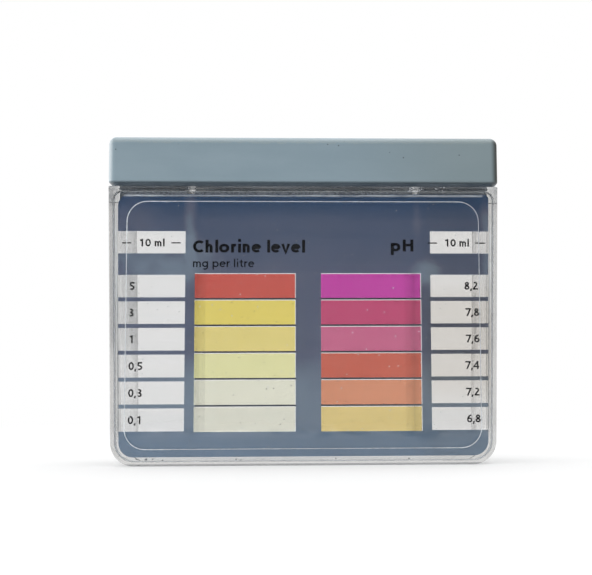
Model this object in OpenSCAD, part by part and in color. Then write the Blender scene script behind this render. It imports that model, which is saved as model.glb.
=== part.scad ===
// Visual comparator for pool water: a clear three-chamber box with a sealed lid,
// and a printed film of colour standards behind a clear front cover.
// X runs across the front, -Y is the front, +Z is up. The origin is on the table,
// under the middle of the box.

/* [Box] */
// Width across the rim
body_w = 77.4; // [74:0.2:84]
// Depth from the raised front panel to the back wall
body_d = 23.1; // [22:0.1:28]
// Height of the box without its lid
body_h = 55.1; // [54:0.1:60]
// How far each side leans in between the rim and the floor
side_taper = 1.16; // [0.2:0.02:2]
// Radius of the two bottom corners, seen from the front
bottom_r = 4.7; // [3.5:0.1:6]
// Thickness of each side wall
side_wall = 1.65; // [1.4:0.05:2]
// Thickness of the back wall
back_wall = 1.6; // [1.2:0.1:2]
// Thickness of the wall between the film and the chambers
front_wall = 1.6; // [1.2:0.1:2]
// Thickness of the floor
floor_t = 1.7; // [1.4:0.1:3]
// Distance from the middle to the centre of each divider
divider_x = 22.5; // [20:0.1:24]
// Thickness of each divider
divider_t = 1.2; // [1:0.05:1.8]

/* [Front cover] */
// Width of the frame left around the cover's recess
lip_w = 0.9; // [0.8:0.05:1.2]
// Thickness of the cover at its border
cover_t = 1.1; // [0.9:0.05:1.2]
// Radius of the cover's two top corners
cover_top_r = 1.8; // [1:0.1:3]
// Height of the raised panel above the cover's border
panel_rise = 0.2; // [0.15:0.05:0.4]
// Width of the raised panel
panel_w = 69.8; // [66:0.2:70]
// Lower edge of the raised panel
panel_low = 3.15; // [2.5:0.05:4]
// Upper edge of the raised panel
panel_high = 52.1; // [50:0.1:52.5]
// Radius of the raised panel's corners
panel_r = 4.1; // [3:0.1:5]
// How far the raised panel sits from the middle
panel_shift = -0.1; // [-0.4:0.1:0.4]

/* [Printed film] */
// Thickness of the clear carrier film
film_t = 0.15; // [0.1:0.01:0.16]
// Thickness of each printed layer
print_t = 0.1; // [0.06:0.01:0.1]
// Half the width of the dark mask at its top edge
mask_half_top = 36.97; // [36.5:0.01:37.1]
// Half the width of the dark mask at its bottom edge
mask_half_low = 36.12; // [35.5:0.01:36.2]
// Lower edge of the dark mask
mask_low = 1.7; // [1.5:0.05:2]
// Upper edge of the dark mask
mask_high = 53.68; // [53:0.02:53.8]
// How far the artwork sits from the middle of the box
art_shift = 0.78; // [0:0.02:1]
// Distance from one row of the scale to the next
row_pitch = 5.265; // [5:0.005:5.3]
// Top edge of the uppermost sample window
window_top = 37.49; // [36:0.01:38]
// Height of a sample window
window_h = 4.47; // [4:0.01:4.8]
// Inner edge of the sample windows, from the middle of the artwork
window_in = 24.3; // [23.5:0.1:25]
// Top edge of the window round the fill mark
fill_window_top = 46.23; // [45:0.01:48]
// Top edge of the uppermost colour standard's opening
patch_top = 37.8; // [36:0.01:38]
// Height of a colour standard
patch_h = 4.93; // [4.5:0.01:4.96]
// Width of a colour standard
patch_w = 19.93; // [18:0.01:20.5]
// Inner edge of the colour standards, from the middle of the artwork
patch_in = 2.5; // [2:0.1:4]
// How far the colours are printed left of their openings
patch_slip_x = 0.12; // [0:0.02:0.3]
// How far the colours are printed below their openings
patch_slip_z = 0.14; // [0:0.02:0.3]

/* [Lid] */
// Width of the lid
lid_w = 77.8; // [75:0.2:86]
// Height of the lid
lid_h = 9.35; // [8:0.05:12]
// Radius of the lid's top edges and upright corners
lid_r = 1.5; // [1:0.1:2.5]
// Radius of the lid's lower edge
lid_low_r = 0.4; // [0.2:0.1:0.8]
// Wall thickness of the lid's shell
lid_wall = 1.5; // [1.2:0.1:2]
// Thickness of the seal's land between the rim and the lid
land_t = 0.77; // [0.5:0.01:1.2]
// How far the land stands back from the lid's edge
land_inset = 1.0; // [0.6:0.1:1.6]
// How deep the plugs reach into the chambers
plug_h = 4.5; // [3:0.1:6]
// How far the seal's spigot reaches up into the lid
spigot_h = 3.4; // [2:0.1:5]

/* [Hidden] */
$fn = 96;

chlorine_nodes = ["chlorine_5", "chlorine_3", "chlorine_1",
                  "chlorine_0_5", "chlorine_0_3", "chlorine_0_1"];
chlorine_colours = ["#c4483c", "#e2c64e", "#e2ca7c", "#e8dd9c", "#eeead0", "#e8e4cf"];
ph_nodes = ["ph_8_2", "ph_7_8", "ph_7_6", "ph_7_4", "ph_7_2", "ph_6_8"];
ph_colours = ["#b9379a", "#b23c66", "#bd4f82", "#bb4f3c", "#d08260", "#d8b860"];
rows = 6;

// Clearance of a plate in its recess, of a plug in its chamber, and between printed layers
seat_gap = 0.1;
plug_gap = 0.12;
layer_gap = 0.03;
// Extra length of a cut, so that it passes through the face it opens
cut = 1;

// Planes along Y, from the raised panel back to the back wall
front_y = -body_d / 2;
border_y = front_y + panel_rise;
cover_back_y = border_y + cover_t;
film_y = cover_back_y + layer_gap;
mask_y = film_y + film_t + layer_gap;
patch_y = mask_y + print_t + layer_gap;
recess_y = patch_y + print_t + layer_gap;
chamber_front_y = recess_y + front_wall;
back_y = body_d / 2;
chamber_back_y = back_y - back_wall;

// Heights above the table
seal_z = body_h + layer_gap;
lid_z = seal_z + land_t;
lid_top_z = lid_z + lid_h;
lid_front_y = border_y - 0.1;

// Half the outer width of the box at a height
function half_width(z) = body_w / 2 - side_taper * (body_h - z) / body_h;

// Unit vectors from corner i to its two neighbours
function along(corners, i, j) =
    let (a = corners[i], b = corners[j], d = [b[0] - a[0], b[1] - a[1]]) d / norm(d);
function back_along(corners, i) = along(corners, i, (i + len(corners) - 1) % len(corners));
function on_along(corners, i) = along(corners, i, (i + 1) % len(corners));
function half_angle(corners, i) = acos(back_along(corners, i) * on_along(corners, i)) / 2;

// Where the two edges at corner i meet its arc, or the corner itself if it is sharp
function edge_ends(corners, i) =
    let (p = [corners[i][0], corners[i][1]], r = corners[i][2], run = r / tan(half_angle(corners, i)))
    r > 0 ? [p + run * back_along(corners, i), p + run * on_along(corners, i)] : [p];

// Centre of the arc at corner i
function arc_centre(corners, i) =
    let (bisector = back_along(corners, i) + on_along(corners, i))
    [corners[i][0], corners[i][1]]
        + bisector / norm(bisector) * corners[i][2] / sin(half_angle(corners, i));

// Convex outline with rounded corners. Each corner is [x, y, radius], in order round the shape.
module rounded_outline(corners) {
    polygon([for (i = [0:len(corners) - 1]) each edge_ends(corners, i)]);
    for (i = [0:len(corners) - 1])
        if (corners[i][2] > 0)
            translate(arc_centre(corners, i)) circle(r = corners[i][2]);
}

// Extrudes an outline drawn in X and Z from one plane along Y to another
module along_y(from_y, to_y) {
    translate([0, to_y, 0]) rotate([90, 0, 0]) linear_extrude(height = to_y - from_y) children();
}

// Extrudes an outline drawn in Y and Z from one plane along X to another
module along_x(from_x, to_x) {
    translate([from_x, 0, 0]) rotate([90, 0, 90]) linear_extrude(height = to_x - from_x) children();
}

// Front outline of the box, drawn in by inset all round
module box_outline(inset, top_r) {
    low = inset;
    high = body_h - inset;
    rounded_outline([[half_width(low) - inset, low, bottom_r - inset],
                     [half_width(high) - inset, high, top_r],
                     [inset - half_width(high), high, top_r],
                     [inset - half_width(low), low, bottom_r - inset]]);
}

// Front outline of the right-hand sample cell, open at the top and drawn in by gap
module side_chamber_outline(low, high, gap, low_r) {
    inner_x = divider_x + divider_t / 2 + gap;
    rounded_outline([[half_width(low) - side_wall - gap, low, low_r],
                     [half_width(high) - side_wall - gap, high, 0],
                     [inner_x, high, 0],
                     [inner_x, low, min(low_r, 1)]]);
}

// Front outline of the middle chamber
module middle_chamber_outline(low, high, gap, low_r) {
    half = divider_x - divider_t / 2 - gap;
    rounded_outline([[half, low, low_r], [half, high, 0], [-half, high, 0], [-half, low, low_r]]);
}

module chamber_outlines(low, high, gap, low_r) {
    side_chamber_outline(low, high, gap, low_r);
    mirror([1, 0]) side_chamber_outline(low, high, gap, low_r);
    middle_chamber_outline(low, high, gap, min(low_r, 1));
}

// Clear moulded box with three chambers, and a recess in its front for the film and cover
module cell_body() {
    color("#e6e8e8", 0.4)
    difference() {
        along_y(border_y, back_y) box_outline(0, 0);
        along_y(border_y - cut, recess_y) box_outline(lip_w, cover_top_r);
        along_y(chamber_front_y, chamber_back_y)
            chamber_outlines(floor_t, body_h + cut, 0, bottom_r - side_wall);
    }
}

// Raised panel with bevelled edges and round corners, on a short root that joins it to the cover
module raised_panel() {
    x_low = panel_shift - panel_w / 2;
    x_high = panel_shift + panel_w / 2;
    root = cover_t / 2;
    translate([0, border_y, 0])
    for (x = [x_low + panel_r, x_high - panel_r])
        for (z = [panel_low + panel_r, panel_high - panel_r])
            translate([x, 0, z]) {
                rotate([90, 0, 0]) cylinder(h = panel_rise, r1 = panel_r, r2 = panel_r - panel_rise);
                rotate([-90, 0, 0]) cylinder(h = root, r = panel_r);
            }
    along_x(x_low + panel_r, x_high - panel_r)
        bevelled_bar(panel_low, panel_high, root);
    translate([0, 0, panel_low + panel_r])
    linear_extrude(height = panel_high - panel_low - 2 * panel_r)
        mirror([1, -1]) bevelled_bar(x_low, x_high, root);
}

// Section of a bar that is bevelled at both ends of its front face, drawn with Y first
module bevelled_bar(low, high, root) {
    polygon([[border_y + root, low], [border_y, low], [front_y, low + panel_rise],
             [front_y, high - panel_rise], [border_y, high], [border_y + root, high]]);
}

// Clear plate that closes the recess over the film
module front_cover() {
    color("#e9ecec", 0.4)
    union() {
        along_y(border_y, cover_back_y) box_outline(lip_w + seat_gap, cover_top_r - seat_gap);
        raised_panel();
    }
}

// Clear film that carries the print
module carrier_film() {
    color("#f0f2f2", 0.4)
    along_y(film_y, film_y + film_t) box_outline(lip_w + 2 * seat_gap, cover_top_r - 2 * seat_gap);
}

// Rectangle between two corners
module field(x_low, x_high, z_low, z_high) {
    translate([x_low, z_low]) square([x_high - x_low, z_high - z_low]);
}

// Windows down one side of the artwork, open to the mask's outer edge. side is -1 or 1.
module sample_windows(side) {
    inner = art_shift + side * window_in;
    outer = side * (mask_half_top + cut);
    tops = [fill_window_top, for (i = [0:rows - 1]) window_top - i * row_pitch];
    for (top = tops)
        field(min(inner, outer), max(inner, outer), top - window_h, top);
}

// Lower left corner of the opening for one colour standard. side is -1 or 1.
function patch_corner(side, i) =
    [art_shift + (side > 0 ? patch_in : -patch_in - patch_w), patch_top - i * row_pitch - patch_h];

// Dark printed mask: a comb with clear windows at both sides and an opening for each standard
module mask_film() {
    color("#51617a", 0.9)
    difference() {
        along_y(mask_y, mask_y + print_t)
            rounded_outline([[mask_half_low, mask_low, 2.9], [mask_half_top, mask_high, 0.9],
                             [-mask_half_top, mask_high, 2.4], [-mask_half_low, mask_low, 2.9]]);
        along_y(mask_y - cut, mask_y + print_t + cut) {
            sample_windows(-1);
            sample_windows(1);
        }
        along_y(mask_y - cut, mask_y + print_t + cut)
            for (side = [-1, 1], i = [0:rows - 1])
                translate(patch_corner(side, i)) square([patch_w, patch_h]);
    }
}

// One translucent colour standard, printed a little out of register behind its opening
module colour_standard(side, i, colour) {
    color(colour, 0.9)
    along_y(patch_y, patch_y + print_t)
        translate(patch_corner(side, i) - [patch_slip_x, patch_slip_z]) square([patch_w, patch_h]);
}

// Side outline of the lid, drawn as width and height
module lid_section(low, high) {
    rounded_outline([[high, lid_z, lid_low_r], [high, lid_top_z, lid_r],
                     [low, lid_top_z, lid_r], [low, lid_z, lid_low_r]]);
}

// Plan outline of the lid, drawn in by inset all round
module lid_plan(inset, corner_r) {
    half = lid_w / 2 - inset;
    low = lid_front_y + inset;
    high = back_y - inset;
    rounded_outline([[half, low, corner_r], [half, high, corner_r],
                     [-half, high, corner_r], [-half, low, corner_r]]);
}

// Block with rounded top edges, upright corners and lower edge
module lid_block() {
    turn_x = lid_w / 2 - lid_r;
    along_x(-turn_x, turn_x) lid_section(lid_front_y, back_y);
    along_y(lid_front_y + lid_r, back_y - lid_r) lid_section(-lid_w / 2, lid_w / 2);
    for (x = [-turn_x, turn_x])
        for (y = [lid_front_y + lid_r, back_y - lid_r])
            translate([x, y, 0])
            rotate_extrude()
            intersection() {
                lid_section(-lid_r, lid_r);
                field(0, lid_r, lid_z, lid_top_z);
            }
}

// Moulded lid shell, open underneath
module lid_cap() {
    color("#8a9ea8")
    difference() {
        lid_block();
        translate([0, 0, lid_z - cut])
        linear_extrude(height = lid_h - lid_wall + cut) lid_plan(lid_wall, 0.5);
    }
}

// Soft seal: a spigot held in the lid, a land on the rim and a plug for each chamber
module lid_seal() {
    color("#32383f")
    union() {
        translate([0, 0, lid_z - land_t / 2])
        linear_extrude(height = land_t / 2 + spigot_h) lid_plan(lid_wall, 0.5);
        translate([0, 0, seal_z])
        linear_extrude(height = land_t) lid_plan(land_inset, 0.8);
        along_y(chamber_front_y + plug_gap, chamber_back_y - plug_gap)
            chamber_outlines(body_h - plug_h, seal_z + land_t / 2, plug_gap, 0.6);
    }
}

cell_body();
front_cover();
carrier_film();
mask_film();
for (i = [0:rows - 1]) {
    colour_standard(-1, i, chlorine_colours[i]);
    colour_standard(1, i, ph_colours[i]);
}
lid_cap();
lid_seal();
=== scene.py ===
import math

import bmesh
import bpy
from mathutils import Matrix, Vector


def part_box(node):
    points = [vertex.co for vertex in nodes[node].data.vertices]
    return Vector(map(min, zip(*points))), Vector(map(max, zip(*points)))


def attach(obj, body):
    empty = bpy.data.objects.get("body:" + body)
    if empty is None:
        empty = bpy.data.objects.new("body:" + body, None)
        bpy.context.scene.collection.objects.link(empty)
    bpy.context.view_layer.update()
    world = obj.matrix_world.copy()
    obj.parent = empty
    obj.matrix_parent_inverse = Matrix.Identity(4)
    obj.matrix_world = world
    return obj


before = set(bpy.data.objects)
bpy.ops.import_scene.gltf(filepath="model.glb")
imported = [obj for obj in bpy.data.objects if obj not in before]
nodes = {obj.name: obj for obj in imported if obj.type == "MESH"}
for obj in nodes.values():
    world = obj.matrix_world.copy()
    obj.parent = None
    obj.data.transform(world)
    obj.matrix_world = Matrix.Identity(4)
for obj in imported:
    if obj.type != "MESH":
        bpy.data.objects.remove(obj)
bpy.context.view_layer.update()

MM = 0.001
scene = bpy.context.scene


# ---------------------------------------------------------------- camera and render settings

CAMERA_PLACE = (2.45, -194.08, 11.19)
CAMERA_YAW, CAMERA_PITCH, CAMERA_ROLL = 1.8, 4.6, -0.27  # degrees
CAMERA_SHIFT = (-0.0845, 0.0760)


def make_camera():
    """A view from close in front of the middle, near the table, looking slightly up."""
    yaw, pitch, roll = (math.radians(a) for a in (CAMERA_YAW, CAMERA_PITCH, CAMERA_ROLL))
    forward = Vector((math.sin(yaw) * math.cos(pitch), math.cos(yaw) * math.cos(pitch), math.sin(pitch)))
    level = Vector((math.cos(yaw), -math.sin(yaw), 0))
    upright = level.cross(forward)
    right = math.cos(roll) * level + math.sin(roll) * upright
    up = -math.sin(roll) * level + math.cos(roll) * upright
    data = bpy.data.cameras.new("camera")
    data.sensor_width = 36
    data.lens = 56.68
    data.shift_x, data.shift_y = CAMERA_SHIFT
    data.clip_start, data.clip_end = 0.005, 20
    cam = bpy.data.objects.new("camera", data)
    turn = Matrix((right, up, -forward)).transposed().to_4x4()
    cam.matrix_world = Matrix.Translation(Vector(CAMERA_PLACE) * MM) @ turn
    scene.collection.objects.link(cam)
    scene.camera = cam


make_camera()
scene.view_settings.view_transform = "Standard"
scene.cycles.use_denoising = True
scene.cycles.max_bounces = 24
scene.cycles.diffuse_bounces = 4
scene.cycles.glossy_bounces = 8
scene.cycles.transmission_bounces = 24
scene.cycles.transparent_max_bounces = 32


# ---------------------------------------------------------------- small helpers for shader nodes

class Graph:
    """Adds shader nodes to one node tree."""

    def __init__(self, tree):
        self.tree = tree
        tree.nodes.clear()

    def add(self, kind, inputs=None, **settings):
        n = self.tree.nodes.new(kind)
        for key, value in settings.items():
            setattr(n, key, value)
        for key, value in (inputs or {}).items():
            socket = n.inputs[key]
            if isinstance(value, bpy.types.NodeSocket):
                self.tree.links.new(value, socket)
            else:
                socket.default_value = value
        return n

    def math(self, operation, a, b=0.0, c=0.0):
        return self.add("ShaderNodeMath", {0: a, 1: b, 2: c}, operation=operation).outputs[0]

    def each(self, operation, first, others):
        for value in others:
            first = self.math(operation, first, value)
        return first

    def plus(self, first, *others):
        return self.each("ADD", first, others)

    def times(self, first, *others):
        return self.each("MULTIPLY", first, others)

    def most(self, first, *others):
        return self.each("MAXIMUM", first, others)

    def minus(self, a, b):
        return self.math("SUBTRACT", a, b)

    def size(self, value):
        return self.math("ABSOLUTE", value)

    def distance(self, a, b):
        return self.math("SQRT", self.plus(self.times(a, a), self.times(b, b)))

    def held(self, value):
        """The value, held between 0 and 1."""
        return self.math("MINIMUM", self.most(value, 0.0), 1.0)

    def between(self, factor, a, b):
        """a where factor is 0 and b where it is 1."""
        return self.plus(self.times(a, self.minus(1.0, factor)), self.times(b, factor))

    def ramp(self, value, low, high, to_low=0.0, to_high=1.0, smooth=True):
        """Maps value from low..high to to_low..to_high, held at both ends."""
        return self.add("ShaderNodeMapRange", {
            "Value": value, "From Min": low, "From Max": high, "To Min": to_low, "To Max": to_high,
        }, interpolation_type="SMOOTHSTEP" if smooth else "LINEAR").outputs["Result"]

    def band(self, value, low, high, soft):
        """1 between low and high, falling to 0 over soft on either side."""
        return self.times(self.ramp(value, low - soft, low), self.ramp(value, high, high + soft, 1.0, 0.0))

    def mix_colour(self, factor, a, b):
        n = self.add("ShaderNodeMix", data_type="RGBA")
        for socket, value in ((n.inputs[0], factor), (n.inputs[6], a), (n.inputs[7], b)):
            if isinstance(value, bpy.types.NodeSocket):
                self.tree.links.new(value, socket)
            else:
                socket.default_value = value
        return n.outputs[2]

    def mix_shader(self, factor, a, b):
        return self.add("ShaderNodeMixShader", {0: factor, 1: a, 2: b}).outputs[0]

    def place(self, scale=(1, 1, 1), turn=(0, 0, 0)):
        """The piece's own coordinates in millimetres, stretched or turned."""
        coord = self.add("ShaderNodeTexCoord").outputs["Object"]
        return self.add("ShaderNodeMapping", {"Vector": coord, "Scale": [1000 * s for s in scale],
                                              "Rotation": turn}).outputs[0]

    def axes(self):
        """The piece's own X, Y and Z in millimetres."""
        return self.add("ShaderNodeSeparateXYZ", {0: self.place()}).outputs

    def facing(self, axis):
        """How squarely the surface faces along one of the piece's own axes, from -1 to 1."""
        normal = self.add("ShaderNodeTexCoord").outputs["Normal"]
        return self.add("ShaderNodeSeparateXYZ", {0: normal}).outputs[axis]

    def noise(self, where, scale, detail=2.0, roughness=0.5):
        return self.add("ShaderNodeTexNoise", {"Vector": where, "Scale": scale, "Detail": detail,
                                               "Roughness": roughness}).outputs[0]

    def cells(self, where, scale):
        """Distance from the middle of each cell."""
        return self.add("ShaderNodeTexVoronoi", {"Vector": where, "Scale": scale}).outputs["Distance"]

    def flecks(self, scale, low, high, shift=0.0):
        """Sparse round flecks on a front face: 1 in the middle of some cells of a flat pattern."""
        x, y, z = self.axes()
        where = self.add("ShaderNodeCombineXYZ", {0: self.plus(x, shift), 1: z}).outputs[0]
        dots = self.add("ShaderNodeTexVoronoi", {"Vector": where, "Scale": scale}, voronoi_dimensions="2D")
        chosen = self.ramp(self.noise(where, scale * 0.6, 1.0), 0.52, 0.58)
        return self.times(self.ramp(dots.outputs["Distance"], low, high, 1.0, 0.0), chosen)

    def bump(self, height, strength, distance):
        return self.add("ShaderNodeBump", {"Height": height, "Strength": strength,
                                           "Distance": distance}).outputs[0]

    def finish(self, shader, volume=None):
        out = self.add("ShaderNodeOutputMaterial", {"Surface": shader})
        if volume is not None:
            self.tree.links.new(volume, out.inputs["Volume"])


def new_material(name):
    m = bpy.data.materials.new(name)
    m.use_nodes = True
    return m, Graph(m.node_tree)


def srgb(r, g, b):
    """Linear colour from 0 to 255 display values."""
    def one(v):
        v /= 255
        return v / 12.92 if v <= 0.04045 else ((v + 0.055) / 1.055) ** 2.4
    return (one(r), one(g), one(b), 1.0)


def lamps_through(g, shader, tint):
    """Lets light from lamps and surroundings straight through clear plastic, slightly dimmed."""
    path = g.add("ShaderNodeLightPath").outputs["Is Shadow Ray"]
    clear = g.add("ShaderNodeBsdfTransparent", {"Color": tint}).outputs[0]
    return g.mix_shader(path, shader, clear)


# ---------------------------------------------------------------- clear plastic

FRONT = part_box("front_cover")[0].y / MM  # face of the raised panel
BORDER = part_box("cell_body")[0].y / MM  # face of the rim round the panel
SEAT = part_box("chlorine_5")[1].y / MM  # back of the printed layers
BODY_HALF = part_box("cell_body")[1].x / MM
BODY_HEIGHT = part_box("cell_body")[1].z / MM
SIDE_TAPER = 1.16  # how far each side draws in towards the floor
JOINT = 0.93  # from the body's outline to the joint round the cover
DIVIDER = (21.8, 23.2)  # span of each divider, with a little room
LIP = BODY_HEIGHT - 1.94  # lower edge of the pale line above the print

# X, Z and radius of the dark nicks along the lower joint
NICKS = ((-32.5, 1.38, 0.14), (-30.7, 1.32, 0.22), (-29.4, 1.38, 0.13), (-27.5, 1.15, 0.12),
         (-13.3, 1.25, 0.13), (-12.4, 1.05, 0.17), (6.1, 1.3, 0.11), (20.4, 1.2, 0.12))

# X, Z and reach of the panel's corners that catch the light
GLINTS = ((-31.0, 48.2, 5.0), (-30.5, 7.0, 4.5), (31.0, 6.8, 4.5))


class Moulding:
    """A clear moulding's material in the making: its coordinates and the noises that its marks share."""

    def __init__(self, name):
        self.material, self.g = new_material(name)
        g = self.g
        self.x, self.y, self.z = g.axes()
        self.fine = g.noise(g.place(), 1.6, 3.0, 0.6)
        self.smear = g.noise(g.place((0.12, 0.12, 0.05), (0, 0.3, 0)), 1.0, 4.0, 0.65)
        self.scratches = g.ramp(g.noise(g.place((0.25, 1, 6), (0, 0.45, 0)), 1.2, 2.0, 0.5), 0.70, 0.78)
        self.forward = g.ramp(g.facing(1), -0.6, -0.9)
        self.sideways = g.ramp(g.size(g.facing(0)), 0.5, 0.9)
        self.edgewise = g.times(g.ramp(g.size(g.facing(1)), 0.45, 0.15),
                                g.ramp(self.z, 50.0, 52.0, 1.0, 0.4))
        outside = g.plus(BODY_HALF - SIDE_TAPER, g.times(self.z, SIDE_TAPER / BODY_HEIGHT))
        self.inset = g.minus(outside, g.size(self.x))

    def grained(self, low, high):
        """A level from low to high that follows the fine noise."""
        return self.g.ramp(self.fine, 0.3, 0.7, low, high)

    def near(self, cx, cz, low, high):
        """1 within low of a point of the front, falling to 0 at high."""
        return self.g.ramp(self.g.distance(self.g.minus(self.x, cx), self.g.minus(self.z, cz)),
                           low, high, 1.0, 0.0)

    def glass(self):
        """Clear polystyrene with faint waves and fine scratches."""
        g = self.g
        waves = g.plus(g.noise(g.place(), 0.10, 2.0), g.times(self.scratches, -0.05))
        glass = g.add("ShaderNodeBsdfPrincipled", {
            "Base Color": (0.99, 0.99, 0.988, 1), "Normal": g.bump(waves, 0.18, 0.0004),
            "Roughness": g.plus(g.ramp(self.smear, 0.50, 0.80, 0.0, 0.02), g.times(self.scratches, 0.06))})
        glass.inputs["Transmission Weight"].default_value = 1.0
        glass.inputs["IOR"].default_value = 1.50
        return glass.outputs[0]

    def finish(self, wear, soil_and_shade, pale, straight=None):
        """wear whitens the surface to pale, which on the cover holds painted highlights; soil_and_shade
        darkens it with soiling and painted shade. straight lets rays pass unbent.
        """
        g = self.g
        sheen_and_wear = g.add("ShaderNodeBsdfDiffuse", {"Color": pale, "Roughness": 0.6}).outputs[0]
        # Dark coat for soiling and for painted shade.
        dirt_and_shade_bsdf = g.add("ShaderNodeBsdfDiffuse", {
            "Color": g.mix_colour(self.grained(0.0, 1.0), (0.10, 0.115, 0.14, 1),
                                  (0.22, 0.24, 0.27, 1))}).outputs[0]
        plastic = g.mix_shader(soil_and_shade, g.mix_shader(wear, self.glass(), sheen_and_wear), dirt_and_shade_bsdf)
        if straight is not None:
            window = g.add("ShaderNodeBsdfTransparent", {"Color": (0.97, 0.97, 0.97, 1)}).outputs[0]
            plastic = g.mix_shader(straight, plastic, window)
        grey = g.add("ShaderNodeVolumeAbsorption", {"Color": (0.515, 0.515, 0.505, 1), "Density": 40.0})
        g.finish(lamps_through(g, plastic, (0.95, 0.95, 0.95, 1)), grey.outputs[0])
        return self.material


def inward_of_joint(p):
    """Distance in from the joint round the cover: a rectangle with rounder corners below than above."""
    g = p.g
    radius = g.ramp(p.z, 22.0, 32.0, 3.8, 1.8)
    across = g.minus(g.plus(radius, JOINT), p.inset)
    half = BODY_HEIGHT / 2
    along = g.plus(g.minus(g.size(g.minus(p.z, half)), half - JOINT), radius)
    outer = g.distance(g.most(across, 0.0), g.most(along, 0.0))
    inner = g.math("MINIMUM", g.most(across, along), 0.0)
    return g.minus(radius, g.plus(outer, inner))


def clear_cover(name):
    """The front plate: frosted bevel and edges, painted highlight where its corners catch the light, glue
    lines at its joint, dust, dark nicks below, and a painted shadow above the print under the lid.
    """
    p = Moulding(name)
    g, x, y, z = p.g, p.x, p.y, p.z
    inward = inward_of_joint(p)
    uneven = g.ramp(g.noise(g.place((0.3, 1, 0.3)), 1.0, 3.0, 0.6), 0.3, 0.7, 0.5, 1.2)
    middle = g.ramp(g.size(x), 36.2, 35.2)
    bevel = g.band(y, FRONT + 0.03, BORDER - 0.03, 0.02)
    face = g.ramp(y, FRONT + 0.005, FRONT + 0.025, 1.0, 0.0)

    outer_glue = g.times(g.band(inward, 0.01, 0.10, 0.05), 0.35)
    inner_glue = g.times(g.band(inward, 0.44, 0.52, 0.06),
                         g.plus(g.ramp(z, 26.0, 34.0, 0.12, 0.60), g.ramp(z, 45.0, 52.0, 0.0, -0.55)))
    lip = g.times(g.band(z, LIP, LIP + 0.16, 0.06), middle, 0.60)
    haze = g.plus(g.ramp(p.smear, 0.3, 0.75, 0.0, 0.010), g.times(p.scratches, 0.05),
                  g.times(g.flecks(0.35, 0.025, 0.050), 0.7))
    wear = g.held(g.plus(g.times(haze, face), g.times(bevel, p.grained(0.65, 1.0)),
                         g.times(p.edgewise, p.grained(0.50, 0.85)),
                         g.times(g.plus(outer_glue, inner_glue, lip), p.forward, uneven)))

    seam = g.times(g.band(inward, 0.60, 0.68, 0.05), uneven, g.ramp(z, 4.0, 8.0),
                   g.ramp(z, 40.0, 28.0, 0.10, 0.55))
    # Painted shadow in a band just above the print, under the lid, weaker to the right and broken at the
    # dividers.
    lid_shadow = g.times(g.band(z, LIP + 0.34, LIP + 0.74, 0.08), middle, g.ramp(x, 14.0, 26.0, 0.65, 0.25))
    lid_shadow = g.times(lid_shadow, g.minus(1.0, g.band(g.size(x), 21.9, 23.1, 0.15)))
    nicks = [g.times(p.near(cx, cz, radius * 0.5, radius * 1.3), 0.75) for cx, cz, radius in NICKS]
    soil_and_shade = g.most(g.times(g.most(seam, lid_shadow), p.forward), *nicks)

    glint = g.most(g.band(inward, 0.0, 0.6, 0.1), *[p.near(cx, cz, r, r + 2.0) for cx, cz, r in GLINTS])
    pale = g.mix_colour(glint, (0.72, 0.76, 0.80, 1), (0.92, 0.97, 1.0, 1))
    return p.finish(wear, soil_and_shade, pale)


def clear_body(name):
    """The box: frosted seat, water marks on the rim and inner sides, and painted shade on the rim's top
    under the lid, on its underside and along its foot.
    """
    p = Moulding(name)
    g, x, y, z = p.g, p.x, p.y, p.z
    where = g.place()
    front = g.times(p.forward, g.ramp(y, BORDER + 0.3, BORDER + 0.1))
    streaks = g.ramp(g.noise(g.place((0.06, 1, 1.6)), 1.0, 3.0, 0.6), 0.3, 0.7, 0.4, 1.3)
    divider = g.times(g.band(g.size(x), *DIVIDER, 0.1), p.sideways)

    seat = g.times(g.ramp(p.inset, 0.45, 0.55), g.ramp(z, 54.5, 54.6, 1.0, 0.0), g.ramp(z, 0.4, 0.5),
                   g.ramp(y, SEAT - 0.05, SEAT, 1.0, 0.0))
    residue = g.times(g.ramp(g.cells(where, 2.2), 0.22, 0.30, 1.0, 0.0),
                      g.ramp(g.noise(where, 0.35, 3.0, 0.7), 0.46, 0.60))
    crust = g.times(residue, g.band(z, 53.2, 54.9, 0.4), g.band(x, 16.0, 30.0, 3.0))
    rim = g.plus(0.04, g.times(g.ramp(z, 54.5, 54.9), 0.14))
    wear = g.held(g.plus(g.times(seat, p.edgewise, p.grained(0.40, 0.75)), g.times(crust, 0.8),
                         g.times(divider, 0.04), g.times(rim, streaks, front)))

    # Painted shade on the top of the rim under the lid, grained like dirt.
    rim_top_shade = g.times(g.ramp(g.facing(2), 0.5, 0.9), g.ramp(z, 54.8, 55.0), p.grained(0.60, 0.90))
    scale = g.times(g.band(p.inset, 1.4, 2.0, 0.1), p.sideways, g.ramp(z, 20.0, 27.0, 0.10, 0.30),
                    g.ramp(p.smear, 0.3, 0.7, 0.6, 1.2), g.ramp(x, -1.0, 1.0, 1.0, 0.6))
    # Painted shade on the underside and along the front of the foot.
    underside_shade = g.times(g.ramp(z, 0.50, 0.15), p.grained(0.35, 0.65), g.ramp(g.facing(2), -0.2, -0.5))
    foot = g.times(g.ramp(z, 0.55, 0.30), 0.50, front)
    drip = g.times(g.band(g.size(x), 22.0, 23.1, 0.5), g.ramp(z, 53.3, 53.8, 0.0, 0.20))
    corner = g.times(g.ramp(p.inset, 2.2, 1.6), g.ramp(z, 49.5, 53.0, 0.0, 0.24),
                     g.ramp(x, 0.0, 1.0, 1.9, 0.8))
    soil_and_shade = g.most(rim_top_shade, scale, underside_shade, foot, g.times(front, g.most(drip, corner), streaks))
    return p.finish(wear, soil_and_shade, (0.80, 0.84, 0.89, 1), straight=g.times(divider, 0.6))


# ---------------------------------------------------------------- films and printing inks

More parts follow.
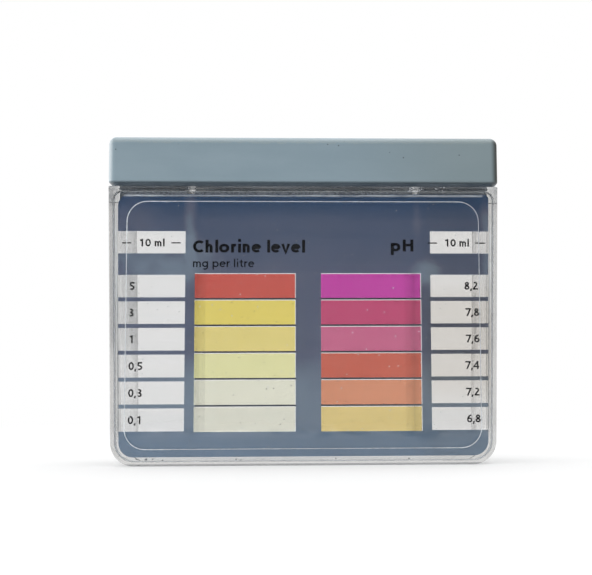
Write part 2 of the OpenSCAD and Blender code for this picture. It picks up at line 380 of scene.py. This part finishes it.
ROW_PITCH = 5.265
FIRST_ROW = 35.255  # middle of the scales' top row
PRINT_SHIFT = 0.78  # how far the print sits right of the box's middle

# Middle (X, Z), half width, half height and strength of the paler clouds on the mask: dusty haze, and a
# painted glow of light let through at the two dividers
HAZE_AND_GLOW_CLOUDS = ((-27.0, 39.6, 12.0, 6.5, 0.55), (24.1, 38.4, 4.5, 4.5, 0.60), (-22.7, 46.5, 1.6, 10.0, 0.50),
                (22.4, 50.0, 1.5, 7.0, 0.22), (-34.0, 49.5, 8.0, 5.5, 0.20), (36.4, 44.0, 1.5, 12.0, 0.50))

# Display colours of the standards in white light
STANDARDS = {
    "chlorine_5": (223, 110, 100), "chlorine_3": (255, 236, 132), "chlorine_1": (254, 237, 157),
    "chlorine_0_5": (255, 252, 196), "chlorine_0_3": (255, 255, 236), "chlorine_0_1": (254, 253, 238),
    "ph_8_2": (218, 91, 187), "ph_7_8": (215, 99, 138), "ph_7_6": (223, 128, 163),
    "ph_7_4": (224, 125, 108), "ph_7_2": (240, 170, 138), "ph_6_8": (251, 228, 159)}


def clear_film(name):
    """Thin clear film: straight through, with a faint gloss, flow lines and some yellowing on the right."""
    m, g = new_material(name)
    x, y, z = g.axes()
    streak = g.noise(g.place((0.05, 1, 0.6)), 1.0, 3.0)
    aged = g.times(g.ramp(x, 22.0, 26.0), g.plus(0.30, g.times(g.band(z, 18.0, 30.0, 9.0), 0.70)))
    gloss = g.add("ShaderNodeBsdfGlossy", {"Color": (0.9, 0.92, 0.94, 1),
                                           "Roughness": g.ramp(streak, 0.3, 0.7, 0.10, 0.22)}).outputs[0]
    tint = g.mix_colour(g.ramp(streak, 0.3, 0.7), (0.975, 0.98, 0.985, 1), (0.985, 0.985, 0.99, 1))
    through = g.add("ShaderNodeBsdfTransparent", {
        "Color": g.mix_colour(aged, tint, (0.915, 0.900, 0.880, 1))}).outputs[0]
    mirror = g.add("ShaderNodeFresnel", {"IOR": 1.48}).outputs[0]
    g.finish(g.mix_shader(g.times(mirror, 0.25), through, gloss))
    return m


def haze_and_light_on_mask(g, x, z, grain):
    """Paler tone from 0 to 1: dusty haze lying in clouds, with painted light and shade. It grows paler
    downwards, painted light from the floor with painted shade under the lid at the top, and a painted glow
    of light let through the dividers runs below them.
    """
    cloud = g.noise(g.place((0.11, 1, 0.13)), 1.0, 4.0, 0.55)
    ragged = g.ramp(cloud, 0.25, 0.75, 0.5, -0.5, smooth=False)
    # Painted light and shade: darkest at the top under the lid, paler downwards towards the lit floor.
    haze_and_light = g.plus(g.ramp(z, 52.6, 47.5, 0.0, 0.34), g.ramp(z, 46.0, 36.0, 0.0, 0.15),
                   g.ramp(z, 23.5, 14.5, 0.0, 0.50))
    haze_and_light = g.times(haze_and_light, g.ramp(cloud, 0.25, 0.75, 0.86, 1.14, smooth=False))
    for cx, cz, wide, high, strength in HAZE_AND_GLOW_CLOUDS:
        far = g.distance(g.times(g.minus(x, cx), 1 / wide), g.times(g.minus(z, cz), 1 / high))
        haze_and_light = g.plus(haze_and_light, g.ramp(g.plus(far, ragged), 1.0, 0.0, 0.0, strength))
    return g.held(g.plus(haze_and_light, g.ramp(grain, 0.3, 0.7, -0.03, 0.03, smooth=False)))


def mask_ink(name):
    """Slate-blue printing ink under dusty haze and painted light, darker in the narrow bars between the
    standards.
    """
    m, g = new_material(name)
    x, y, z = g.axes()
    grain = g.noise(g.place(), 9.0, 2.0, 0.6)
    haze_and_light = haze_and_light_on_mask(g, x, z, grain)
    shade = g.mix_colour(g.ramp(haze_and_light, 0.0, 0.5, smooth=False), (0.112, 0.210, 0.400, 1),
                         (0.300, 0.345, 0.495, 1))
    shade = g.mix_colour(g.ramp(haze_and_light, 0.5, 1.0, smooth=False), shade, (0.480, 0.595, 0.740, 1))
    shade = g.mix_colour(g.ramp(z, 8.5, 4.5), shade, (0.222, 0.370, 0.560, 1))
    bar_z = FIRST_ROW - ROW_PITCH / 2 + 0.08
    level = g.math("WRAP", z, bar_z - ROW_PITCH / 2, bar_z + ROW_PITCH / 2)
    bar = g.times(g.band(level, bar_z - 0.15, bar_z + 0.15, 0.06), g.band(z, 9.0, 36.0, 1.0),
                  g.band(g.size(g.minus(x, PRINT_SHIFT)), 2.5, 22.2, 0.1))
    shade = g.mix_colour(g.times(bar, 0.75), shade, (0.085, 0.075, 0.075, 1))
    ink = g.add("ShaderNodeBsdfPrincipled", {
        "Base Color": shade, "Roughness": g.ramp(grain, 0.3, 0.7, 0.55, 0.7),
        "Normal": g.bump(grain, 0.08, 0.00004)})
    ink.inputs["Specular IOR Level"].default_value = 0.1
    through = g.add("ShaderNodeBsdfTransparent", {"Color": (0.05, 0.10, 0.20, 1)}).outputs[0]
    g.finish(g.mix_shader(0.06, ink.outputs[0], through))
    return m


def standard_ink(name, colour, seed):
    """Transparent colour standard with fine printed grain, faint clouds and a few dark specks."""
    m, g = new_material(name)
    shift = (seed * 7.3, 0, seed * 3.1)
    where = g.add("ShaderNodeVectorMath", {0: g.place(), 1: shift}, operation="ADD").outputs[0]
    grain = g.noise(where, 5.0, 2.0, 0.65)
    cloud = g.noise(where, 0.12, 2.0, 0.5)
    tone = g.held(g.plus(g.ramp(grain, 0.3, 0.7, -0.35, 0.35, smooth=False),
                         g.ramp(cloud, 0.3, 0.7, -0.15, 0.15), 0.5))

    def shades(power):
        """A darker and a paler tone. Power 0.5 is for a colour that is met once on each face."""
        mid = [c ** power for c in srgb(*colour)[:3]]
        darker = tuple(c ** 1.04 * 0.985 for c in mid)
        paler = tuple(min(c ** 0.97 * 1.01, 1) for c in mid)
        return darker + (1,), paler + (1,)

    full = g.mix_colour(tone, *shades(1.0))
    front = g.add("ShaderNodeBsdfDiffuse", {
        "Color": full, "Roughness": 0.3, "Normal": g.bump(grain, 0.05, 0.00003)}).outputs[0]
    back = g.add("ShaderNodeBsdfTranslucent", {"Color": full}).outputs[0]
    specks = g.times(g.flecks(0.45, 0.03, 0.07, seed * 5.1), 0.55)
    through = g.add("ShaderNodeBsdfTransparent", {
        "Color": g.mix_colour(specks, g.mix_colour(tone, *shades(0.5)), (0.22, 0.20, 0.18, 1))}).outputs[0]
    g.finish(g.mix_shader(0.94, g.mix_shader(0.8, front, back), through))
    return m


def text_ink(name, low, high):
    """Dense black printing ink with slightly uneven cover."""
    m, g = new_material(name)
    grain = g.noise(g.place(), 8.0, 2.0, 0.6)
    ink = g.add("ShaderNodeBsdfPrincipled", {
        "Base Color": g.mix_colour(g.ramp(grain, 0.3, 0.7), low, high),
        "Roughness": g.ramp(grain, 0.3, 0.7, 0.55, 0.7), "Normal": g.bump(grain, 0.05, 0.00002)})
    ink.inputs["Specular IOR Level"].default_value = 0.1
    g.finish(ink.outputs[0])
    return m


# ---------------------------------------------------------------- lid and seal

def lid_plastic(name):
    """Satin blue-grey moulded plastic: fine grain, faint mottling and specks, with painted highlights and
    painted shade.

    Its top edge has a painted highlight with a ragged, worn look. It turns darker and greener to the right,
    painted shade. Its left end has a painted highlight, and its right front corner and lowest edge painted
    shade."""
    m, g = new_material(name)
    x, y, z = g.axes()
    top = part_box("lid_cap")[1].z / MM
    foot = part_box("lid_cap")[0].z / MM
    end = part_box("lid_cap")[1].x / MM
    grain = g.noise(g.place(), 6.0, 3.0, 0.6)
    cloud = g.noise(g.place((0.05, 0.05, 0.16)), 1.0, 4.0, 0.55)
    specks = g.times(g.ramp(g.cells(g.place(), 0.55), 0.05, 0.09, 1.0, 0.0),
                     g.ramp(g.noise(g.place(), 0.31, 1.0), 0.60, 0.66))
    tone = g.held(g.plus(g.ramp(grain, 0.3, 0.7, -0.10, 0.10, smooth=False),
                         g.ramp(cloud, 0.3, 0.7, -0.22, 0.22), 0.5))
    # Painted highlight along the top rounded edge, which faces the light, given a ragged worn look.
    ragged = g.plus(z, g.ramp(g.noise(g.place((0.5, 0.5, 0.5)), 1.0, 4.0, 0.7), 0.2, 0.8, -0.35, 0.35))
    sheen_and_wear = g.times(g.band(ragged, top - 1.25, top - 0.45, 0.25), g.ramp(grain, 0.35, 0.65, 0.15, 0.6))
    # Painted highlight on the left end, lit from the left.
    left_end_highlight = g.ramp(x, -end + 1.2, -end + 0.3, 0.0, 0.75)
    # Painted shade on the right front corner, which faces the dim right side.
    right_corner_shade = g.times(g.ramp(x, end - 1.6, end - 0.25), g.ramp(y, -9.4, -10.4),
                    g.ramp(z, top - 0.2, top - 1.1), 0.9)
    shade = g.mix_colour(tone, srgb(146, 167, 179), srgb(161, 181, 192))
    shade = g.mix_colour(sheen_and_wear, shade, srgb(170, 181, 181))
    # Darker and greener towards the right: painted shade from the dim right side.
    shade = g.mix_colour(g.ramp(x, 4.0, 37.0, 0.0, 0.5), shade, srgb(137, 149, 148))
    shade = g.mix_colour(left_end_highlight, shade, srgb(232, 242, 247))
    shade = g.mix_colour(right_corner_shade, shade, srgb(62, 62, 54))
    # Painted shade along the lid's lowest edge.
    shade = g.mix_colour(g.ramp(z, foot + 0.35, foot + 0.10, 0.0, 0.6), shade, srgb(52, 60, 68))
    shade = g.mix_colour(g.times(specks, 0.8), shade, srgb(58, 62, 66))
    lid = g.add("ShaderNodeBsdfPrincipled", {
        "Base Color": shade, "Roughness": g.ramp(cloud, 0.3, 0.7, 0.40, 0.52),
        "Normal": g.bump(g.plus(grain, g.times(cloud, 2.0)), 0.12, 0.00006)})
    lid.inputs["Specular IOR Level"].default_value = 0.4
    g.finish(lid.outputs[0])
    return m


def seal_rubber(name):
    """Soft dark seal with a matt, slightly dusty skin."""
    m, g = new_material(name)
    grain = g.noise(g.place(), 5.0, 3.0, 0.6)
    dust = g.noise(g.place((0.2, 0.2, 0.8)), 1.0, 4.0, 0.6)
    shade = g.mix_colour(g.ramp(dust, 0.3, 0.7), srgb(104, 117, 130), srgb(128, 140, 151))
    rubber = g.add("ShaderNodeBsdfPrincipled", {
        "Base Color": shade, "Roughness": g.ramp(grain, 0.3, 0.7, 0.62, 0.8),
        "Normal": g.bump(grain, 0.15, 0.00006)})
    rubber.inputs["Specular IOR Level"].default_value = 0.3
    g.finish(rubber.outputs[0])
    return m


# ---------------------------------------------------------------- materials onto the CAD pieces

def paint(node, material):
    for slot in nodes[node].material_slots:
        slot.link = "OBJECT"
        slot.material = material


paint("cell_body", clear_body("clear_body"))
paint("front_cover", clear_cover("clear_cover"))
paint("carrier_film", clear_film("clear_carrier"))
paint("mask_film", mask_ink("mask_ink"))
paint("lid_cap", lid_plastic("lid_plastic"))
paint("lid_seal", seal_rubber("seal_rubber"))
for i, (node, colour) in enumerate(STANDARDS.items()):
    paint(node, standard_ink("ink_" + node, colour, i))


# ---------------------------------------------------------------- softened edges on the moulded pieces

def soften(node, width):
    """Rounds the sharp edges of a CAD piece by a modifier that merges its flat faces first."""
    o = nodes[node]
    weld = o.modifiers.new("weld", "WELD")
    weld.merge_threshold = 0.000002
    flat = o.modifiers.new("flatten", "DECIMATE")
    flat.decimate_type = "DISSOLVE"
    flat.angle_limit = math.radians(0.5)
    bevel = o.modifiers.new("bevel", "BEVEL")
    bevel.width = width * MM
    bevel.segments = 2
    bevel.limit_method = "ANGLE"
    bevel.angle_limit = math.radians(30)
    bevel.miter_outer = "MITER_ARC"
    shade = o.modifiers.new("shade", "WEIGHTED_NORMAL")
    shade.weight = 100
    shade.keep_sharp = False


soften("cell_body", 0.18)
soften("front_cover", 0.06)


# ---------------------------------------------------------------- printed lettering

def arc(cx, cy, rx, ry, start, end, count=14):
    """Points round an ellipse from one angle to another, in degrees."""
    return [(cx + rx * math.cos(math.radians(start + (end - start) * i / count)),
             cy + ry * math.sin(math.radians(start + (end - start) * i / count))) for i in range(count + 1)]


def glyph(char, w):
    """(advance, strokes) of a plain sans-serif character. The capital height is 1 and w is the pen's width.

    A stroke is (points of its centre line, whether it closes on itself)."""
    h, x = w / 2, 0.72
    top, mid = 1 - h, x / 2
    bowl = (0.37 - h, mid - h)
    arch = [(0.09 + h, x * 0.60)] + arc(0.345, x - 0.27, 0.255 - h, 0.27 - h, 165, 0, 9)
    shapes = {
        "0": (0.76, [(arc(0.38, 0.5, 0.335 - h, 0.5 - h, 90, 450, 32), True)]),
        "1": (0.76, [([(0.15, 0.80), (0.44, top - 0.02)], False), ([(0.44, 1), (0.44, 0)], False)]),
        "2": (0.76, [([*arc(0.355, 0.70, 0.285 - h, 0.30 - h, 140, -28, 12), (0.12, h)], False),
                     ([(0.06, h), (0.70, h)], False)]),
        "3": (0.76, [(arc(0.33, 0.745, 0.285 - h, 0.255 - h, 125, -90, 14), False),
                     (arc(0.33, 0.275, 0.335 - h, 0.275 - h, 90, -125, 16), False),
                     ([(0.22, 0.51), (0.34, 0.51)], False)]),
        "5": (0.76, [([(0.66, top), (0.20, top), (0.155, 0.56)], False),
                     ([(0.155, 0.565), *arc(0.31, 0.31, 0.37 - h, 0.31 - h, 78, -118, 16)], False)]),
        "4": (0.76, [([(0.52, top), (0.07, 0.30), (0.73, 0.30)], False), ([(0.55, 1), (0.55, 0)], False)]),
        "6": (0.76, [(arc(0.385, 0.315, 0.325 - h, 0.315 - h, 90, 450, 28), True),
                     ([(0.62, top), *arc(0.56, 0.36, 0.50 - h, 0.62 - h, 98, 176, 10)], False)]),
        "7": (0.76, [([(0.06, top), (0.66, top), (0.27, 0)], False)]),
        "8": (0.76, [(arc(0.38, 0.745, 0.275 - h, 0.255 - h, 90, 450, 24), True),
                     (arc(0.38, 0.275, 0.325 - h, 0.275 - h, 90, 450, 28), True)]),
        ",": (0.32, [([(0.17, 0.15), (0.09, -0.17)], False)]),
        " ": (0.32, []),
        "C": (0.86, [(arc(0.52, 0.5, 0.46 - h, 0.5 - h, 48, 312, 26), False)]),
        "H": (0.97, [([(0.11 + h, 0), (0.11 + h, 1)], False), ([(0.86 - h, 0), (0.86 - h, 1)], False),
                     ([(0.11 + h, 0.53), (0.86 - h, 0.53)], False)]),
        "h": (0.70, [([(0.09 + h, 0), (0.09 + h, 1.05)], False), ([*arch, (0.60 - h, 0)], False)]),
        "n": (0.70, [([(0.09 + h, 0), (0.09 + h, x)], False), ([*arch, (0.60 - h, 0)], False)]),
        "m": (1.20 - w, [([(0.09 + h, 0), (0.09 + h, x)], False), ([*arch, (0.60 - h, 0)], False),
                         ([(0.51 - w + px, py) for px, py in arch] + [(1.11 - 1.5 * w, 0)], False)]),
        "l": (0.33, [([(0.09 + h, 0), (0.09 + h, 1.05)], False)]),
        "i": (0.33, [([(0.09 + h, 0), (0.09 + h, x)], False),
                     ([(0.09 + h, 0.87), (0.09 + h, 0.87 + w * 1.15)], False)]),
        "r": (0.50, [([(0.09 + h, 0), (0.09 + h, x)], False),
                     ([(0.09 + h, x * 0.55), *arc(0.42, x - 0.30, 0.33 - h, 0.30 - h, 160, 82, 6)], False)]),
        "o": (0.80, [(arc(0.40, mid, *bowl, 90, 450, 28), True)]),
        "e": (0.74, [(arc(0.385, mid, bowl[0] - 0.02, bowl[1], 5, 318, 24), False),
                     ([(0.385 - bowl[0], mid + 0.03), (0.385 + bowl[0] - 0.02, mid + 0.03)], False)]),
        "v": (0.70, [([(0.02 + h, x), (0.35, 0.0), (0.68 - h, x)], False)]),
        "t": (0.48, [([(0.17 + h, 0.92), (0.17 + h, 0.22),
                       *arc(0.35 + h, 0.22, 0.18, 0.22 - h, 180, 285, 6)], False),
                     ([(0.02, x - h), (0.45, x - h)], False)]),
        "p": (0.83, [([(0.09 + h, -0.30), (0.09 + h, x)], False),
                     (arc(0.43, mid, 0.34 - h, mid - h, 90, 450, 26), True)]),
        "g": (0.81, [(arc(0.39, mid + 0.01, 0.34 - h, mid - h - 0.01, 90, 450, 26), True),
                     ([(0.72 - h, x), (0.72 - h, 0.02),
                       *arc(0.37, 0.0, 0.35 - h, 0.31 - h, 0, -128, 12)], False)]),
    }
    return shapes[char]


def ribbon(bm, points, closed, half, place):
    """A flat stroke of even width and some thickness along the points. place maps drawing to space."""
    if closed:
        points = points[:-1]
    points = [p for i, p in enumerate(points) if i == 0 or math.dist(p, points[i - 1]) > 1e-6]
    count = len(points)
    rows = []
    for i, (px, py) in enumerate(points):
        before = points[i - 1] if closed or i > 0 else None
        after = points[(i + 1) % count] if closed or i < count - 1 else None
        turns = []
        for a, b in ((before, (px, py)), ((px, py), after)):
            if a is not None and b is not None:
                length = math.hypot(b[0] - a[0], b[1] - a[1])
                turns.append((-(b[1] - a[1]) / length, (b[0] - a[0]) / length))
        nx, ny = sum(t[0] for t in turns), sum(t[1] for t in turns)
        size = math.hypot(nx, ny)
        reach = half * min(len(turns) / size, 1.8) / size
        rows.append([bm.verts.new(place(px + side * nx * reach, py + side * ny * reach, face))
                     for side, face in ((-1, 0), (1, 0), (1, 1), (-1, 1))])
    for i in range(count if closed else count - 1):
        a, b = rows[i], rows[(i + 1) % count]
        for k in range(4):
            bm.faces.new((a[k], a[(k + 1) % 4], b[(k + 1) % 4], b[k]))
    if not closed:
        bm.faces.new(rows[0])
        bm.faces.new(rows[-1][::-1])


def letter(bm, text, base_z, cap, x_low=None, x_high=None, weight=0.19):
    """Adds text to bm, in millimetres. One or both ends fix its place across the print."""
    ink_low = min(p[0] for p in glyph(text[0], weight)[1][0][0]) - weight / 2
    width = sum(glyph(c, weight)[0] for c in text)
    last = glyph(text[-1], weight)
    ink_high = width - last[0] + max(p[0] for stroke in last[1] for p in stroke[0]) + weight / 2
    wide = (x_high - x_low) / (ink_high - ink_low) if x_low is not None and x_high is not None else cap
    start = x_low - ink_low * wide if x_low is not None else x_high - ink_high * wide
    for char in text:
        advance, strokes = glyph(char, weight)
        for points, closed in strokes:
            ribbon(bm, points, closed, weight / 2, lambda gx, gy, face: Vector(
                (start + gx * wide, PRINT_Y + (face - 0.5) * PRINT_T, base_z + gy * cap)) * MM)
        start += advance * wide


def dash(bm, x_low, x_high, z):
    centre = Vector(((x_low + x_high) / 2, PRINT_Y, z)) * MM
    size = Vector((x_high - x_low, PRINT_T, DASH_HIGH)) * MM
    bmesh.ops.create_cube(bm, size=1.0, matrix=Matrix.Translation(centre) @ Matrix.Diagonal(size).to_4x4())


def printed(name, material, fill):
    """One piece of print, filled by a function, that rides with the box."""
    bm = bmesh.new()
    fill(bm)
    bmesh.ops.recalc_face_normals(bm, faces=bm.faces)
    mesh = bpy.data.meshes.new(name)
    bm.to_mesh(mesh)
    bm.free()
    mesh.materials.append(material)
    o = bpy.data.objects.new(name, mesh)
    scene.collection.objects.link(o)
    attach(o, "tester")


film_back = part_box("carrier_film")[1].y / MM
mask_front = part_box("mask_film")[0].y / MM
PRINT_Y = (film_back + mask_front) / 2
PRINT_T = (mask_front - film_back) * 0.4
VALUE_HIGH = 1.56
FILL_LINE = 43.86
DASH_HIGH = 0.24
BOLD, LIGHT = 0.215, 0.15


def left_values(bm):
    for i, value in enumerate(("5", "3", "1", "0,5", "0,3", "0,1")):
        letter(bm, value, FIRST_ROW - i * ROW_PITCH - VALUE_HIGH / 2, VALUE_HIGH, x_low=-34.4)


def right_values(bm):
    for i, value in enumerate(("8,2", "7,8", "7,6", "7,4", "7,2", "6,8")):
        letter(bm, value, FIRST_ROW - i * ROW_PITCH - VALUE_HIGH / 2, VALUE_HIGH, x_high=34.7)


def fill_marks(bm):
    letter(bm, "10 ml", 43.15, 1.5, x_low=-32.66, x_high=-27.64)
    letter(bm, "10 ml", 43.15, 1.5, x_low=28.0, x_high=32.9)
    for ends in ((-35.97, -34.25), (-26.30, -24.48), (24.62, 26.49), (34.21, 36.17)):
        dash(bm, *ends, FILL_LINE)


def headings(bm):
    letter(bm, "Chlorine level", 41.92, 2.45, x_low=-22.03, x_high=0.15, weight=BOLD)
    letter(bm, "mg per litre", 39.0, 1.62, x_low=-22.01, x_high=-9.89, weight=LIGHT)
    letter(bm, "pH", 42.16, 2.4, x_low=17.23, x_high=21.75, weight=BOLD)


black = text_ink("text_black", srgb(16, 16, 20), srgb(30, 30, 36))
navy = text_ink("text_navy", srgb(10, 13, 22), srgb(18, 22, 34))
printed("values_left", black, left_values)
printed("values_right", black, right_values)
printed("fill_marks", black, fill_marks)
printed("headings", navy, headings)


# ---------------------------------------------------------------- floor, surroundings and light

def make_floor():
    """A pale floor that glows towards the back and fades out in front, close to the camera."""
    bm = bmesh.new()
    bmesh.ops.create_grid(bm, x_segments=1, y_segments=1, size=3.0)
    mesh = bpy.data.meshes.new("floor")
    bm.to_mesh(mesh)
    bm.free()
    m, g = new_material("floor_white")
    paper = g.noise(g.place(), 0.4, 2.0)
    depth = g.axes()[1]
    white = g.mix_colour(paper, (0.84, 0.85, 0.855, 1), (0.86, 0.865, 0.87, 1))
    table = g.add("ShaderNodeBsdfDiffuse", {"Color": white}).outputs[0]
    far = g.add("ShaderNodeEmission", {"Color": (1, 1, 1, 1), "Strength": 1.0}).outputs[0]
    lit = g.mix_shader(g.ramp(depth, 60.0, 500.0, 0.40, 1.0), table, far)
    open_front = g.add("ShaderNodeBsdfTransparent").outputs[0]
    g.finish(g.mix_shader(g.ramp(depth, -330.0, -170.0), open_front, lit))
    mesh.materials.append(m)
    o = bpy.data.objects.new("floor", mesh)
    o.location.z = -0.02 * MM
    scene.collection.objects.link(o)


def make_world():
    """White to the camera. To all else: a white sweep behind, a bright ceiling, a window on the left,
    and a dim room in front and on the right."""
    world = bpy.data.worlds.new("studio")
    scene.world = world
    world.use_nodes = True
    world.cycles.sampling_method = "NONE"
    g = Graph(world.node_tree)
    towards = g.add("ShaderNodeTexCoord").outputs["Generated"]
    x, y, z = g.add("ShaderNodeSeparateXYZ", {0: towards}).outputs

    stretched = g.add("ShaderNodeMapping", {"Vector": towards, "Scale": (7, 7, 9)}).outputs[0]
    cloud = g.noise(stretched, 1.0, 3.0, 0.5)
    room = g.ramp(cloud, 0.3, 0.7, 0.05, 0.13)
    window = g.times(g.ramp(x, -0.40, -0.80), g.ramp(z, 0.50, 0.25))
    right = g.ramp(x, 0.35, 0.70)
    front = g.times(room, g.minus(g.minus(1.0, window), right))
    level = g.plus(front, g.times(window, 1.8), g.times(right, 0.06))
    level = g.between(g.ramp(y, 0.15, 0.55), level, 0.62)
    level = g.between(g.ramp(y, 0.72, 0.90), level, 1.06)
    level = g.between(g.ramp(z, 0.45, 0.85), level, 1.35)
    warm_white = (1.0, 0.995, 0.99, 1)
    scene_light = g.add("ShaderNodeBackground", {"Color": warm_white, "Strength": level}).outputs[0]
    seen = g.add("ShaderNodeBackground", {"Color": (1, 1, 1, 1), "Strength": 1.0}).outputs[0]
    path = g.add("ShaderNodeLightPath").outputs["Is Camera Ray"]
    g.add("ShaderNodeOutputWorld", {"Surface": g.mix_shader(path, scene_light, seen)})


def area_light(name, place, target, size, power):
    """A round lamp that clear plastic doesn't show."""
    data = bpy.data.lights.new(name, "AREA")
    data.shape = "DISK"
    data.size = size
    data.energy = power
    o = bpy.data.objects.new(name, data)
    o.visible_transmission = False
    o.location = place
    o.rotation_euler = (Vector(target) - Vector(place)).to_track_quat("-Z", "Y").to_euler()
    scene.collection.objects.link(o)


make_floor()
make_world()
area_light("key", (-0.03, -0.02, 0.80), (0, 0, 0.03), 0.7, 2.55)
